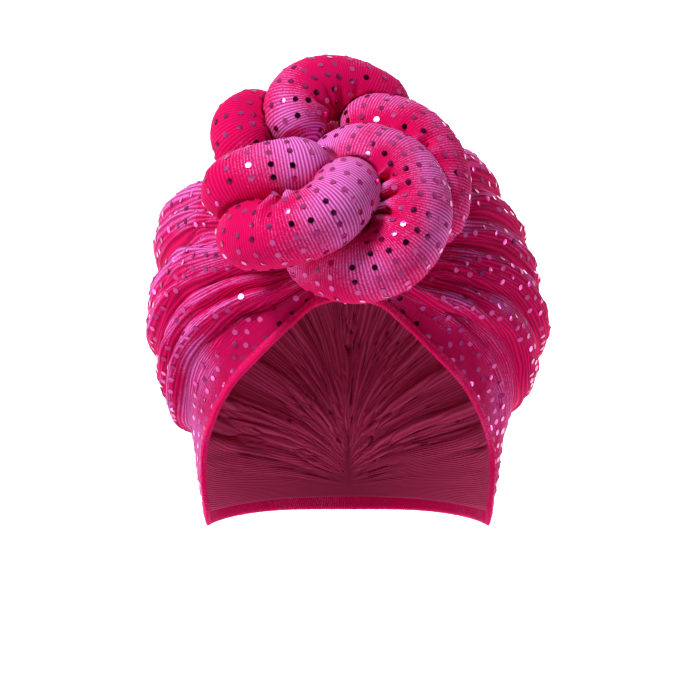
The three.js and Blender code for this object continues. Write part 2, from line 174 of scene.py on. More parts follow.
def edge_direction(run):
    """The direction of the opening's right-hand edge, from brow to nape."""
    turn = np.radians(smooth_column(EDGE_TURN, run, True))
    z = smooth_column(EDGE_HEIGHT, run, False) * HEAD["up"]
    level = np.sqrt(1 - (z / np.where(z > 0, HEAD["up"], HEAD["down"])) ** 2)
    depth = np.where(np.cos(turn) > 0, HEAD["front"], HEAD["back"])
    across = HEAD["side"] * level * np.sin(turn) * ((run > 0) & (run < 1))
    return unit(np.stack([across, -depth * level * np.cos(turn), z], axis=-1))


def direction_down(run, share):
    """The direction a share of the way from the middle line down to the right-hand edge."""
    top = ridge_direction(run)
    edge = edge_direction(run)
    angle = np.arccos(np.clip((top * edge).sum(axis=-1), -1, 1))
    return unit(top * np.sin((1 - share) * angle)[..., None] + edge * np.sin(share * angle)[..., None])


def share_at_edge_distance(run, distance):
    """How far down towards the edge a line on the head comes within a distance of the edge."""
    edge = edge_direction(run)
    edge = edge * reach_of(edge, HEAD)[..., None]
    low = np.full_like(run, 0.3)
    high = np.ones_like(run)
    for _ in range(24):
        middle = (low + high) / 2
        point = direction_down(run, middle)
        point = point * reach_of(point, HEAD)[..., None]
        short = np.linalg.norm(point - edge, axis=-1) > distance
        low = np.where(short, middle, low)
        high = np.where(short, high, middle)
    return (low + high) / 2


SPAN_RUN = np.linspace(0, 1, 241)
span_share = share_at_edge_distance(SPAN_RUN, HEM_WIDTH - HEM_TUCK)
span_ridge = ridge_direction(SPAN_RUN)
span_edge = edge_direction(SPAN_RUN)
span_full_angle = np.arccos(np.clip((span_ridge * span_edge).sum(axis=-1), -1, 1))
span_angle = span_share * span_full_angle
span_normal = np.cross(span_ridge, span_edge)

COIL_DIAMETER = 0.0325
KNOT_ANGLE = math.radians(64)
SEAT_DIRECTION = np.array([0, -math.cos(KNOT_ANGLE), math.sin(KNOT_ANGLE)])
KNOT_SEAT = SEAT_DIRECTION * reach_of(SEAT_DIRECTION, PUFF)
seat_spread = 2 * COIL_DIAMETER / np.linalg.norm(KNOT_SEAT)


def drawn_up(run):
    """What a place across the crown is multiplied by to find its place in the table of folds."""
    return 1 + FOLDS_DRAWN_UP * smoothstep(run, DRAWN_FROM, DRAWN_TO)


def fold_rise(direction, run, across):
    """The fold's height: flat at both gathers and under the knot, and softer towards the nape."""
    across = across * drawn_up(run)
    i = np.clip(np.searchsorted(FOLD_START, across, side="right") - 1, 0, len(FOLD_SHARE) - 1)
    inside = (across > FOLD_START[0]) & (across < FOLD_START[-1])
    half = (FOLD_START[i + 1] - FOLD_START[i]) / 2
    place = (across - FOLD_START[i]) / half - 1
    profile = np.maximum(0, 1 - place ** 2) ** FOLD_ROUNDNESS * inside
    mirrored = direction * np.where(across < 0, -1, 1)[..., None] ** np.array([1, 0, 0])
    from_seat = np.arccos(np.clip((mirrored * SEAT_DIRECTION).sum(axis=-1), -1, 1))
    pressed = smoothstep(from_seat, PRESSED_FLAT * seat_spread, LEFT_FREE * seat_spread)
    softened = 1 - SOFTENED_SHARE * smoothstep(run, FOLDS_SOFTEN, FOLDS_DIE)
    along = smoothstep(run, 0, FOLDS_RISEN) * softened * (1 - smoothstep(run, FOLDS_DIE, 1))
    width = 2 * half * np.interp(run, SPAN_RUN, span_angle) * HEAD["front"]
    height = np.minimum(FOLD_RISE * FOLD_SHARE[i], FOLD_STEEPNESS * width)
    return height * profile * pressed * along


def crown_reach(direction, run, across):
    """The crown's outer face as a distance from the origin."""
    close = reach_of(direction, HEAD) + CLOTH
    puffed = reach_of(direction, PUFF)
    soft = np.maximum(0, LEAVING_BLEND - np.abs(close - puffed)) / LEAVING_BLEND
    outer = np.maximum(close, puffed) + soft ** 2 * LEAVING_BLEND / 4
    share = smoothstep(1 - np.abs(across), 0, HUG_SHARE)
    return close + (outer - close) * share + fold_rise(direction, run, across)


def crown_clearance(points):
    """How far outside the crown each point lies."""
    distance = np.linalg.norm(points, axis=-1)
    direction = points / distance[:, None]
    direction[:, 0] = np.abs(direction[:, 0])
    side = direction @ span_normal.T
    i = np.clip(np.argmax(side < 0, axis=1) - 1, 0, len(SPAN_RUN) - 2)
    rows = np.arange(len(points))
    change = side[rows, i] - side[rows, i + 1]
    step = side[rows, i] / np.where(change == 0, 1, change)
    run = SPAN_RUN[i] + np.clip(step, 0, 1) * (SPAN_RUN[1] - SPAN_RUN[0])
    ridge = ridge_direction(run)
    down = np.arccos(np.clip((ridge * direction).sum(axis=-1), -1, 1))
    across = np.clip(down / np.interp(run, SPAN_RUN, span_angle), 0, 1)
    across = across * np.where(points[:, 0] < 0, -1, 1)
    return distance - crown_reach(direction, run, across)


def eased_steps(count, draw):
    """Steps from 0 to 1, drawn together towards both ends."""
    even = np.linspace(0, 1, count + 1)
    return even + draw * (0.5 - 0.5 * np.cos(np.pi * even) - even)


def ripple(phase_seed, *waves):
    """A smooth random-looking field of unit height from crossed waves, given by their phases."""
    rng = np.random.default_rng(phase_seed)
    total = 0
    for wave in waves:
        total = total + np.sin(wave + rng.uniform(0, 2 * math.pi))
    return total / len(waves)


CROWN_ROWS = 200
ROW_DRAW = 0.5
FOLD_STEP = 0.009
PANEL_STEPS = 20
RIDGE_LENGTH = 0.3
HALF_WIDTH = 0.16
CREST_CHANGE = 0.12
CREASE_DEPTH = 0.0032
PLEAT_HEIGHT = 0.0009
PLEATS_ACROSS = 30
PLEAT_SHARPNESS = 0.7

columns = [np.linspace(-1, FOLD_START[0], PANEL_STEPS, endpoint=False)]
fold_width = np.diff(FOLD_START)
fold_steps = np.round(np.maximum(fold_width, fold_width[::-1]) / FOLD_STEP).astype(int)
for start, end, steps in zip(FOLD_START[:-1], FOLD_START[1:], fold_steps):
    columns.append(np.linspace(start, end, steps, endpoint=False))
columns.append(np.linspace(FOLD_START[-1], 1, PANEL_STEPS + 1))
columns = np.concatenate(columns)
evened = (columns - columns[::-1]) / 2

crown_run = np.repeat(eased_steps(CROWN_ROWS, ROW_DRAW)[:, None], len(columns), axis=1)
settled = smoothstep(np.minimum(crown_run, 1 - crown_run), 0, 0.1)
crown_across = evened[None] + (columns - evened)[None] * settled
panel_width = 1 - max(-FOLD_START[0], FOLD_START[-1])
crown_across /= 1 + (drawn_up(crown_run) - 1) * np.minimum(1, (1 - np.abs(crown_across)) / panel_width)
crown_side = np.where(crown_across < 0, -1.0, 1.0)
crown_share = np.abs(crown_across) * np.interp(crown_run, SPAN_RUN, span_share)
crown_direction = direction_down(crown_run, crown_share)
along_metres = crown_run * RIDGE_LENGTH
across_metres = crown_across * HALF_WIDTH
inside_seams = smoothstep(np.minimum(crown_run, 1 - crown_run), 0, FOLDS_RISEN)
above_hem = smoothstep(1 - np.abs(crown_across), 0.1, 0.3)

# The fold lines wander a little on their way back, and each fold rises and sinks along its crest
wander = ripple(3, along_metres * 24 + crown_across * 5, along_metres * 41 - crown_across * 9)
wander = wander * FOLD_WANDER
folded_across = crown_across + wander * inside_seams * above_hem
crown_height = fold_rise(crown_direction, crown_run, folded_across)
crest_change = ripple(4, along_metres * 55 + crown_across * 23, along_metres * 33 - crown_across * 37)
lowest = smoothstep(np.abs(crown_across), 0.66, 0.7) * (1 - smoothstep(crown_run, 0.25, 0.42))
crown_height *= (FOLD_FULLNESS + LOWEST_FULLNESS * lowest) * (1 + CREST_CHANGE * crest_change)
smooth_reach = crown_reach(crown_direction, crown_run, crown_across)
smooth_reach += crown_height - fold_rise(crown_direction, crown_run, crown_across)

# Pleats fan out from under the knot, and small wavering creases run along the folds up to both gathers
fanned = smoothstep(crown_run, 0, 0.05) * (1 - smoothstep(crown_run, 0.3, 0.75)) * above_hem
pleat_phase = math.pi * PLEATS_ACROSS / 2 * (crown_across + 0.6 * wander) + 1.4 * np.sin(along_metres * 20)
pleats = 1 - 2 * np.abs(np.sin(pleat_phase)) ** PLEAT_SHARPNESS
pleats *= 0.6 + 0.4 * ripple(9, along_metres * 30 + crown_across * 40, crown_across * 27 - along_metres * 12)
crinkle = ripple(7, along_metres * 130 + across_metres * 60, along_metres * 75 - across_metres * 110)
creases = ripple(
    5,
    across_metres * 560 + 3 * np.sin(along_metres * 21) + 1.4 * crinkle,
    across_metres * 980 + 4 * np.sin(along_metres * 17 + 1) + 2 * crinkle,
    across_metres * 1400 + 5 * np.sin(along_metres * 29 + 2) - 2.4 * crinkle,
)
creases *= 0.55 + 0.45 * ripple(
    6, along_metres * 37 + across_metres * 90, along_metres * 61 - across_metres * 50)
creases *= inside_seams * smoothstep(1 - np.abs(crown_across), 0.08, 0.3)
smooth_reach += PLEAT_HEIGHT * pleats * fanned * inside_seams + CREASE_DEPTH * creases

# A groove under the lowest fold on each side, deepest below the knot
fold_place = crown_across * drawn_up(crown_run)
to_groove = np.where(fold_place < 0, FOLD_START[0] - fold_place, fold_place - FOLD_START[-1])
groove = np.exp(-(to_groove / GROOVE_WIDTH) ** 2)
groove *= smoothstep(crown_run, 0.04, 0.12) * (1 - smoothstep(crown_run, 0.24, 0.4))
smooth_reach -= GROOVE_DEPTH * groove
crown_outer = crown_direction * smooth_reach[..., None]

# Each fold leans towards the hem over the one below it
down_step = direction_down(crown_run, np.minimum(1, crown_share + 0.01)) - crown_direction
leaning = (FOLD_LEAN + LOWEST_LEAN * lowest) * crown_height * smoothstep(np.abs(crown_across), 0.1, 0.5)
crown_outer += unit(down_step) * leaning[..., None]
crown_outer[..., 0] *= crown_side


def grid_normals(grid):
    """Outward unit normals of a grid of points round the origin, whose folds may hang over."""
    normals = np.cross(np.gradient(grid, axis=1), np.gradient(grid, axis=0))
    outward = unit(grid)
    normals *= np.sign(np.median((unit(normals) * outward).sum(axis=-1)))
    return unit(unit(normals) + outward * 1e-6)


crown_normals = grid_normals(crown_outer)
crown_normals[[0, -1], :, 0] = 0
by_hem = (1 - smoothstep(1 - np.abs(crown_across), 0, 0.1))[..., None]
crown_normals = unit(crown_normals * (1 - by_hem) + unit(crown_outer) * by_hem)
crown_inner = crown_outer - crown_normals * CLOTH


def mesh_object(name, points, faces, uvs=None, material_of=None, painted_sheen=None):
    """A smooth-shaded mesh object; its UVs, in metres of cloth, and its painted sheen are given per point.
    """
    mesh = bpy.data.meshes.new(name)
    mesh.from_pydata([tuple(p) for p in points.tolist()], [], faces)
    if uvs is not None:
        layer = mesh.uv_layers.new(name="UVMap")
        corners = np.empty(len(mesh.loops), dtype=np.int32)
        mesh.loops.foreach_get("vertex_index", corners)
        layer.data.foreach_set("uv", uvs[corners].astype(np.float32).ravel())
    if material_of is not None:
        mesh.polygons.foreach_set("material_index", material_of)
    if painted_sheen is not None:
        field = mesh.attributes.new("painted_sheen", "FLOAT", "POINT")
        field.data.foreach_set("value", painted_sheen.astype(np.float32).ravel())
    mesh.polygons.foreach_set("use_smooth", [True] * len(mesh.polygons))
    mesh.update()
    obj = bpy.data.objects.new(name, mesh)
    bpy.context.scene.collection.objects.link(obj)
    return obj


def merge_close(obj, distance=1e-6):
    """Welds the points that lie on each other and turns the faces out."""
    work = bmesh.new()
    work.from_mesh(obj.data)
    bmesh.ops.remove_doubles(work, verts=work.verts, dist=distance)
    bmesh.ops.recalc_face_normals(work, faces=work.faces)
    work.to_mesh(obj.data)
    work.free()


rows, across_count = crown_outer.shape[:2]
index = np.arange(rows * across_count).reshape(rows, across_count)
inner_index = index + rows * across_count


def grid_faces(a):
    """Faces between the rows and columns of a grid of point numbers."""
    return np.stack([a[:-1, :-1], a[:-1, 1:], a[1:, 1:], a[1:, :-1]], axis=-1).reshape(-1, 4)


def strip_faces(a, b):
    """Faces between two lines of point numbers."""
    return np.stack([a[:-1], b[:-1], b[1:], a[1:]], axis=-1)


crown_faces = np.concatenate([
    grid_faces(index),
    grid_faces(inner_index)[:, ::-1],
    strip_faces(index[:, 0], inner_index[:, 0]),
    strip_faces(inner_index[:, -1], index[:, -1]),
])
crown_uvs = np.stack([across_metres, along_metres], axis=-1).reshape(-1, 2)

# Lilac sheen is painted into the crown's colour, most on the folds' upper flanks, which face up towards the
# light on the left, and by the left ear; the panels by the hem get little, and the valleys get painted shade
SHEEN_BASE = 0.3
SHEEN_ON_LIT_FLANKS = 0.6
LIT_FACING = np.array([-0.45, 0.1, 0.9])
SHEEN_ON_PANEL = 0.12
SHEEN_ON_CREASES = 0.35
SHEEN_ON_LOWEST = 0.35
SHADE_IN_VALLEYS = 0.3
SHADE_IN_GROOVE = 0.4
SHEEN_ON_LEFT_EAR = 0.45
SHEEN_ON_RIGHT = 0.12
# Painted sheen on risen flanks that face up and to the left, towards the light, and a base amount all over
crown_painted_sheen = SHEEN_ON_LIT_FLANKS * (crown_normals @ unit(LIT_FACING)) * smoothstep(crown_height, 0, 0.003)
crown_painted_sheen += SHEEN_BASE
flat_panel = smoothstep(np.abs(crown_across), 0.62, 0.8) * (1 - smoothstep(crown_run, 0.33, 0.45))
crown_painted_sheen = crown_painted_sheen * (1 - flat_panel) + SHEEN_ON_PANEL * flat_panel
by_ear = smoothstep(np.abs(crown_across), 0.5, 0.75) * smoothstep(crown_run, 0.3, 0.4)
in_valley = 1 - smoothstep(crown_height, 0.001, 0.004)
# Painted highlight on crease ridges, painted shade in troughs, valleys and the groove, sheen on the lowest
# fold
crown_painted_sheen += SHEEN_ON_CREASES * creases
crown_painted_sheen -= SHADE_IN_VALLEYS * in_valley * (np.abs(crown_across) < 0.7)
crown_painted_sheen += SHEEN_ON_LOWEST * lowest * smoothstep(crown_height, 0.002, 0.004)
crown_painted_sheen -= SHADE_IN_GROOVE * groove
# Painted sheen by the left ear, which faces the light, and a little more over the whole right side
crown_painted_sheen += SHEEN_ON_LEFT_EAR * by_ear * (crown_across < 0) + SHEEN_ON_RIGHT * (crown_across > 0)
inside_faces = np.zeros(len(crown_faces), dtype=np.int32)
inside_faces[(rows - 1) * (across_count - 1):2 * (rows - 1) * (across_count - 1)] = 1
crown = mesh_object(
    "crown_cloth",
    np.concatenate([crown_outer.reshape(-1, 3), crown_inner.reshape(-1, 3)]),
    crown_faces.tolist(),
    np.concatenate([crown_uvs, crown_uvs]),
    inside_faces,
    np.concatenate([crown_painted_sheen, crown_painted_sheen]),
)
merge_close(crown)


def new_group(name, inputs, outputs):
    """An empty shader node group with named sockets, and its input and output nodes."""
    group = bpy.data.node_groups.new(name, "ShaderNodeTree")
    for socket, kind, value in inputs:
        made = group.interface.new_socket(socket, in_out="INPUT", socket_type=kind)
        if value is not None:
            made.default_value = value
    for socket, kind in outputs:
        group.interface.new_socket(socket, in_out="OUTPUT", socket_type=kind)
    return group, group.nodes.new("NodeGroupInput"), group.nodes.new("NodeGroupOutput")


def math_node(tree, operation, a, b=None):
    """A Math node whose inputs are numbers or sockets, and its output."""
    node = tree.nodes.new("ShaderNodeMath")
    node.operation = operation
    for socket, value in zip(node.inputs, (a, b)):
        if isinstance(value, bpy.types.NodeSocket):
            tree.links.new(value, socket)
        elif value is not None:
            socket.default_value = value
    return node.outputs[0]


def noise_node(tree, coordinate, scale, detail):
    """The output of a Noise node at a coordinate, from 0 to 1."""
    node = tree.nodes.new("ShaderNodeTexNoise")
    tree.links.new(coordinate, node.inputs["Vector"])
    node.inputs["Scale"].default_value = scale
    node.inputs["Detail"].default_value = detail
    return node.outputs["Fac"]


RIB_WANDER_SCALE = 60
PILE_SCALE = 2600
PILE_HEIGHT = 0.5
PILE_MIDDLE = 0.34
RIB_SHARPNESS = 1.6
RIB_PALENESS = 0.95
FROST = 0.6
PATCH_SCALE = 40
GRAIN_SCALE = 1300
# Where the painted sheen mask starts and where it is full
SHEEN_FROM = 0.2
SHEEN_TO = 0.9


def rib_group():
    """The fine ribs along one way of the cloth: a height, and a line mask for their painted highlight and
    shade.
    """
    group, given, out = new_group(
        "knit_ribs",
        [("Cloth", "NodeSocketVector", None), ("Pitch", "NodeSocketFloat", 0.0015),
         ("Wander", "NodeSocketFloat", 0.0006)],
        [("Height", "NodeSocketFloat"), ("Lines", "NodeSocketFloat")],
    )
    split = group.nodes.new("ShaderNodeSeparateXYZ")
    group.links.new(given.outputs["Cloth"], split.inputs[0])
    wander = noise_node(group, given.outputs["Cloth"], RIB_WANDER_SCALE, 2)
    wander = math_node(group, "MULTIPLY", math_node(group, "SUBTRACT", wander, 0.5), given.outputs["Wander"])
    along = math_node(group, "ADD", split.outputs["X"], wander)
    turns = math_node(group, "DIVIDE", along, given.outputs["Pitch"])
    wave = math_node(group, "SINE", math_node(group, "MULTIPLY", turns, 2 * math.pi))
    height = math_node(group, "ADD", math_node(group, "MULTIPLY", wave, 0.5), 0.5)
    pile = noise_node(group, given.outputs["Cloth"], PILE_SCALE, 2)
    rough_height = math_node(group, "ADD", height, math_node(group, "MULTIPLY", pile, PILE_HEIGHT))
    group.links.new(rough_height, out.inputs["Height"])
    lines = math_node(group, "MULTIPLY", math_node(group, "POWER", height, RIB_SHARPNESS), RIB_PALENESS)
    frost = math_node(group, "MULTIPLY", math_node(group, "SUBTRACT", pile, PILE_MIDDLE), FROST)
    group.links.new(math_node(group, "ADD", lines, frost), out.inputs["Lines"])
    return group


def sheen_group():
    """Where lilac sheen is painted: the given amount, broken up by soft-edged random patches and a fine
    grain.
    """
    group, given, out = new_group(
        "painted_sheen_patches",
        [("Place", "NodeSocketVector", None), ("Sheen Amount", "NodeSocketFloat", 0.5),
         ("Patches", "NodeSocketFloat", 0.9), ("Grain", "NodeSocketFloat", 0.9)],
        [("Sheen Mask", "NodeSocketFloat")],
    )
    patches = math_node(group, "SUBTRACT", noise_node(group, given.outputs["Place"], PATCH_SCALE, 5), 0.5)
    patches = math_node(group, "MULTIPLY", patches, given.outputs["Patches"])
    grain = math_node(group, "SUBTRACT", noise_node(group, given.outputs["Place"], GRAIN_SCALE, 2), 0.5)
    grain = math_node(group, "MULTIPLY", grain, given.outputs["Grain"])
    value = math_node(group, "ADD", given.outputs["Sheen Amount"], math_node(group, "ADD", patches, grain))
    rise = group.nodes.new("ShaderNodeMapRange")
    rise.interpolation_type = "SMOOTHSTEP"
    group.links.new(value, rise.inputs["Value"])
    rise.inputs["From Min"].default_value = SHEEN_FROM
    rise.inputs["From Max"].default_value = SHEEN_TO
    group.links.new(rise.outputs["Result"], out.inputs["Sheen Mask"])
    return group


KNIT_RIBS = rib_group()
SHEEN_PATCHES = sheen_group()
CRIMSON = (0.68, 0.0, 0.085, 1)
# The crown's velvet is the coils' velvet darkened, as painted shade for its folds
SHADED_CROWN_CRIMSON = (0.5, 0.0, 0.075, 1)
SHADED_CROWN_PLUM = (0.36, 0.005, 0.14, 1)
SHADED_CROWN_LILAC = (0.86, 0.18, 0.62, 1)
ROSE = (0.78, 0.004, 0.125, 1)
PLUM = (0.46, 0.01, 0.21, 1)
LILAC = (1.0, 0.3, 0.88, 1)
SHEEN = (0.9, 0.05, 0.5, 1)
REVERSE_DARK = (0.45, 0.02, 0.1, 1)
REVERSE_PALE = (0.62, 0.07, 0.2, 1)
# Painted shade between the ribs, as a share of the crimson
SHADE_BETWEEN_RIBS = 0.8
VELVET_ROUGHNESS = 0.85
BRUSHED_SMOOTHER = 0.2


def mix_colours(tree, factor, a, b):
    """The colour socket of a Mix node between two colours or colour sockets."""
    node = tree.nodes.new("ShaderNodeMix")
    node.data_type = "RGBA"
    tree.links.new(factor, node.inputs["Factor"])
    for socket, value in ((node.inputs[6], a), (node.inputs[7], b)):
        if isinstance(value, bpy.types.NodeSocket):
            tree.links.new(value, socket)
        else:
            socket.default_value = value
    return node.outputs[2]


def new_material(name):
    """A material with its node tree and its Principled shader."""
    material = bpy.data.materials.new(name)
    material.use_nodes = True
    return material, material.node_tree, material.node_tree.nodes["Principled BSDF"]


def set_inputs(node, values):
    """Gives a node's named inputs their constant values."""
    for socket, value in values.items():
        node.inputs[socket].default_value = value


def ribbed_cloth(name, rib_pitch, rib_depth, rib_strength):
    """A matte knit with raised ribs: the material, its node tree, its shader and the ribs' line mask."""
    material, tree, shader = new_material(name)
    place = tree.nodes.new("ShaderNodeTexCoord")
    ribs = tree.nodes.new("ShaderNodeGroup")
    ribs.node_tree = KNIT_RIBS
    tree.links.new(place.outputs["UV"], ribs.inputs["Cloth"])
    ribs.inputs["Pitch"].default_value = rib_pitch
    bump = tree.nodes.new("ShaderNodeBump")
    set_inputs(bump, {"Strength": rib_strength, "Distance": rib_depth})
    tree.links.new(ribs.outputs["Height"], bump.inputs["Height"])
    tree.links.new(bump.outputs["Normal"], shader.inputs["Normal"])
    return material, tree, shader, ribs.outputs["Lines"]


def velvet(name, rib_pitch, rib_depth, patches, crimson=CRIMSON, plum=PLUM, lilac=LILAC):
    """Ribbed stretch velvet: crimson pile with lilac ribs painted in as sheen where the mask is high, and a
    faint sheen.
    """
    material, tree, shader, lines = ribbed_cloth(name, rib_pitch, rib_depth, 0.8)
    place = tree.nodes.new("ShaderNodeTexCoord")
    painted_sheen = tree.nodes.new("ShaderNodeAttribute")
    painted_sheen.attribute_name = "painted_sheen"
    sheen_node = tree.nodes.new("ShaderNodeGroup")
    sheen_node.node_tree = SHEEN_PATCHES
    tree.links.new(place.outputs["Object"], sheen_node.inputs["Place"])
    tree.links.new(painted_sheen.outputs["Fac"], sheen_node.inputs["Sheen Amount"])
    sheen_node.inputs["Patches"].default_value = patches
    # Painted highlight on rib crests and painted shade between them: lilac on plum, rose on darkened crimson
    sheen_ribs = mix_colours(tree, lines, plum, lilac)
    shaded = [SHADE_BETWEEN_RIBS * part for part in crimson[:3]] + [1]
    plain_ribs = mix_colours(tree, lines, shaded, ROSE)
    tree.links.new(mix_colours(tree, sheen_node.outputs["Sheen Mask"], plain_ribs, sheen_ribs), shader.inputs["Base Color"])
    smoother = math_node(tree, "MULTIPLY", sheen_node.outputs["Sheen Mask"], BRUSHED_SMOOTHER)
    tree.links.new(math_node(tree, "SUBTRACT", VELVET_ROUGHNESS, smoother), shader.inputs["Roughness"])
    set_inputs(shader, {
        "Sheen Weight": 0.12, "Sheen Roughness": 0.4, "Sheen Tint": SHEEN, "Specular IOR Level": 0.05})
    return material


def knit_reverse():
    """The cloth's plain inside: matte, darker and finely ribbed."""
    material, tree, shader, lines = ribbed_cloth("crown_reverse", 0.0013, 0.0002, 1)
    # Painted highlight on the rib crests and painted shade between them
    tree.links.new(mix_colours(tree, lines, REVERSE_DARK, REVERSE_PALE), shader.inputs["Base Color"])
    set_inputs(shader, {"Roughness": 0.95, "Specular IOR Level": 0.1})
    return material


# The crown takes the darkened colours: painted shade for its folds
crown.data.materials.append(
    velvet("crown_velvet", 0.0012, 0.0003, 1.2, SHADED_CROWN_CRIMSON, SHADED_CROWN_PLUM, SHADED_CROWN_LILAC))
crown.data.materials.append(knit_reverse())
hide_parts("crown")
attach(crown, "root")

# The hem is the crown's own edge, turned under and sewn down over an elastic with one row of stitches.
# It grips all round the opening.
HEM_THICKNESS = 0.003
HEM_SECTIONS = 420
HEM_SIDES = 20
# An even amount of painted lilac sheen on the hem's velvet
HEM_SHEEN = 0.22
STITCH_LINE = 0.42
STITCH_LENGTH = 0.0024
STITCH_GAP = 0.0009
STITCH_RADIUS = 0.00028
STITCH_DENT = 0.28
STITCH_LIFT = 0.86
PUCKER = 0.00018

half_run = eased_steps(HEM_SECTIONS // 2, ROW_DRAW)
hem_run = np.concatenate([half_run, half_run[-2:0:-1]])
hem_side = np.concatenate([np.ones(len(half_run)), -np.ones(len(half_run) - 2)])
hem_start = share_at_edge_distance(hem_run, HEM_WIDTH)


def hem_points(along, lift):
    """Points on the hem: a share of the way from the crown's edge to the opening, and of its thickness."""
    share = hem_start + (1 - hem_start) * along
    direction = direction_down(hem_run, share)
    points = direction * (reach_of(direction, HEAD) + lift * HEM_THICKNESS)[:, None]
    points[:, 0] *= hem_side
    return points


def squared(wave):
    """A wave from 0 to 1 whose corners are squared off."""
    return 0.5 + 0.5 * np.sign(wave) * np.abs(wave) ** 0.5


section_angle = (np.arange(HEM_SIDES) + 0.5) / HEM_SIDES * 2 * math.pi
section_along = squared(np.cos(section_angle))
section_lift = squared(np.sin(section_angle))
stitch_dent = STITCH_DENT * np.exp(-((section_along - STITCH_LINE) / 0.1) ** 2) * (section_lift > 0.6)
hem_grid = np.stack([
    hem_points(across, lift) for across, lift in zip(section_along, section_lift - stitch_dent)], axis=1)
hem_number = np.arange(len(hem_run))[:, None]
hem_pucker = PUCKER * ripple(8, hem_number * 1.9, hem_number * 0.83)
hem_grid += unit(hem_grid) * (hem_pucker * (section_lift > 0.5))[..., None]
hem_uvs = np.stack([
    np.repeat(walked(hem_grid[:, 0])[:, None], HEM_SIDES, axis=1),
    np.repeat((section_along * HEM_WIDTH)[None], len(hem_run), axis=0),
], axis=-1)


def ring_faces(ring_count, sides, closed):
    """Faces between rings of points, closed into a loop or left open at both ends."""
    ring = np.arange(ring_count if closed else ring_count - 1)[:, None]
    side = np.arange(sides)
    after = (side + 1) % sides
    start = ring * sides
    next_start = (ring + 1) % ring_count * sides
    corners = [start + side, start + after, next_start + after, next_start + side]
    return np.stack(corners, axis=-1).reshape(-1, 4)


hem = mesh_object(
    "hem_cloth",
    hem_grid.reshape(-1, 3),
    ring_faces(len(hem_run), HEM_SIDES, True).tolist(),
    hem_uvs.reshape(-1, 2),
    painted_sheen=np.full(hem_uvs.shape[:2], HEM_SHEEN),
)
merge_close(hem)
hem.data.materials.append(velvet("hem_velvet", 0.0013, 0.00012, 0.8))
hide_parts("hem_band")
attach(hem, "root")

# The stitches that hold the hem down are single short runs of polyester thread, one after another along it.
# Each stands up a little in its middle and dives into the cloth at both ends.
THREAD_SIDES = 6
THREAD_RINGS = np.array([0.0, 0.12, 0.5, 0.88, 1.0])
THREAD_WIDTH = np.array([0.35, 0.9, 1.0, 0.9, 0.35])
THREAD_RISE = 0.0003
THREAD_DARK = (0.4, 0.0, 0.06, 1)
THREAD_PALE = (0.75, 0.03, 0.2, 1)


def points_at(stops, walk, points):
    """Points on a line at given distances along it."""
    return np.stack([np.interp(stops, walk, points[:, axis]) for axis in range(3)], axis=-1)


def turned(sides):
    """Even steps once round, in radians."""
    return np.arange(sides) / sides * 2 * math.pi


def rings_of(first, second, angles):
    """Points of unit circles, each in the plane of two unit vectors."""
    across = first[..., None, :] * np.cos(angles)[:, None]
    return across + second[..., None, :] * np.sin(angles)[:, None]


stitch_line = hem_points(STITCH_LINE, STITCH_LIFT)
stitch_walk = walked(stitch_line)
stitch_points = []
stitch_faces = []
for start in np.arange(0, stitch_walk[-1] - STITCH_LENGTH, STITCH_LENGTH + STITCH_GAP):
    middle = points_at(start + THREAD_RINGS * STITCH_LENGTH, stitch_walk, stitch_line)
    outward = unit(middle)
    sideways = unit(np.cross(unit(middle[-1] - middle[0]), outward))
    middle += outward * (THREAD_RISE * np.sin(np.pi * THREAD_RINGS))[:, None]
    base = len(stitch_points) * THREAD_SIDES * len(THREAD_RINGS)
    ring = rings_of(sideways, outward, turned(THREAD_SIDES))
    ring *= (STITCH_RADIUS * THREAD_WIDTH)[:, None, None]
    stitch_points.append((middle[:, None] + ring).reshape(-1, 3))
    stitch_faces += (ring_faces(len(THREAD_RINGS), THREAD_SIDES, False) + base).tolist()
    stitch_faces.append(list(range(base, base + THREAD_SIDES))[::-1])
    last = base + THREAD_SIDES * (len(THREAD_RINGS) - 1)
    stitch_faces.append(list(range(last, last + THREAD_SIDES)))
stitching = mesh_object("hem_stitching", np.concatenate(stitch_points), stitch_faces)
merge_close(stitching, 1e-7)

thread, thread_tree, thread_shader = new_material("thread")
thread_place = thread_tree.nodes.new("ShaderNodeTexCoord")
twist = noise_node(thread_tree, thread_place.outputs["Object"], 900, 2)
thread_tree.links.new(
    mix_colours(thread_tree, twist, THREAD_DARK, THREAD_PALE), thread_shader.inputs["Base Color"])
set_inputs(thread_shader, {"Roughness": 0.6})
stitching.data.materials.append(thread)
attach(stitching, "root")

# The knot is six stretches of stuffed velvet tube that curl round each other above the brow. Each one's ends
# tuck in behind its neighbours, and it is pressed flat where it meets them or lies on the crown.
KNOT_LEAN = math.radians(24)
KNOT_UP = np.array([0, math.sin(KNOT_LEAN), math.cos(KNOT_LEAN)])
KNOT_OUT = np.array([0, -math.cos(KNOT_LEAN), math.sin(KNOT_LEAN)])
COIL_GAP = 0.0005
PRESSED_SHARE = 0.35
LINE_STEPS = 2001
RING_PITCH = 0.001
RING_DRAW = 0.35
COIL_SIDES = 96
SETTLING_ROUNDS = 14
PROBE_STEPS = 6
HALVINGS = 9
LEAST_REACH = 0.06
# Painted sheen where the coils face up, and painted shade inside their bends
SHEEN_BY_SLOPE = 0.25
SHADE_INSIDE_BENDS = 0.5
SHEEN_FACING = np.array([0.25, -0.1, 0.95])
PINCH_WIDTH = 0.0018
PINCH_DEEPENED = 1.3
PINCH_REACH = 1.35
PINCH_FRONT = 0.75
PINCH_SLANT = 0.12
PINCH_BEND = 0.09
LIP_SHARE = 0.42
LIP_PLACE = 2.6
LIP_WIDTH = 1.5
# Painted highlight on the pinches' lips
LIP_HIGHLIGHT = 350
LUMP_HEIGHT = 0.0007
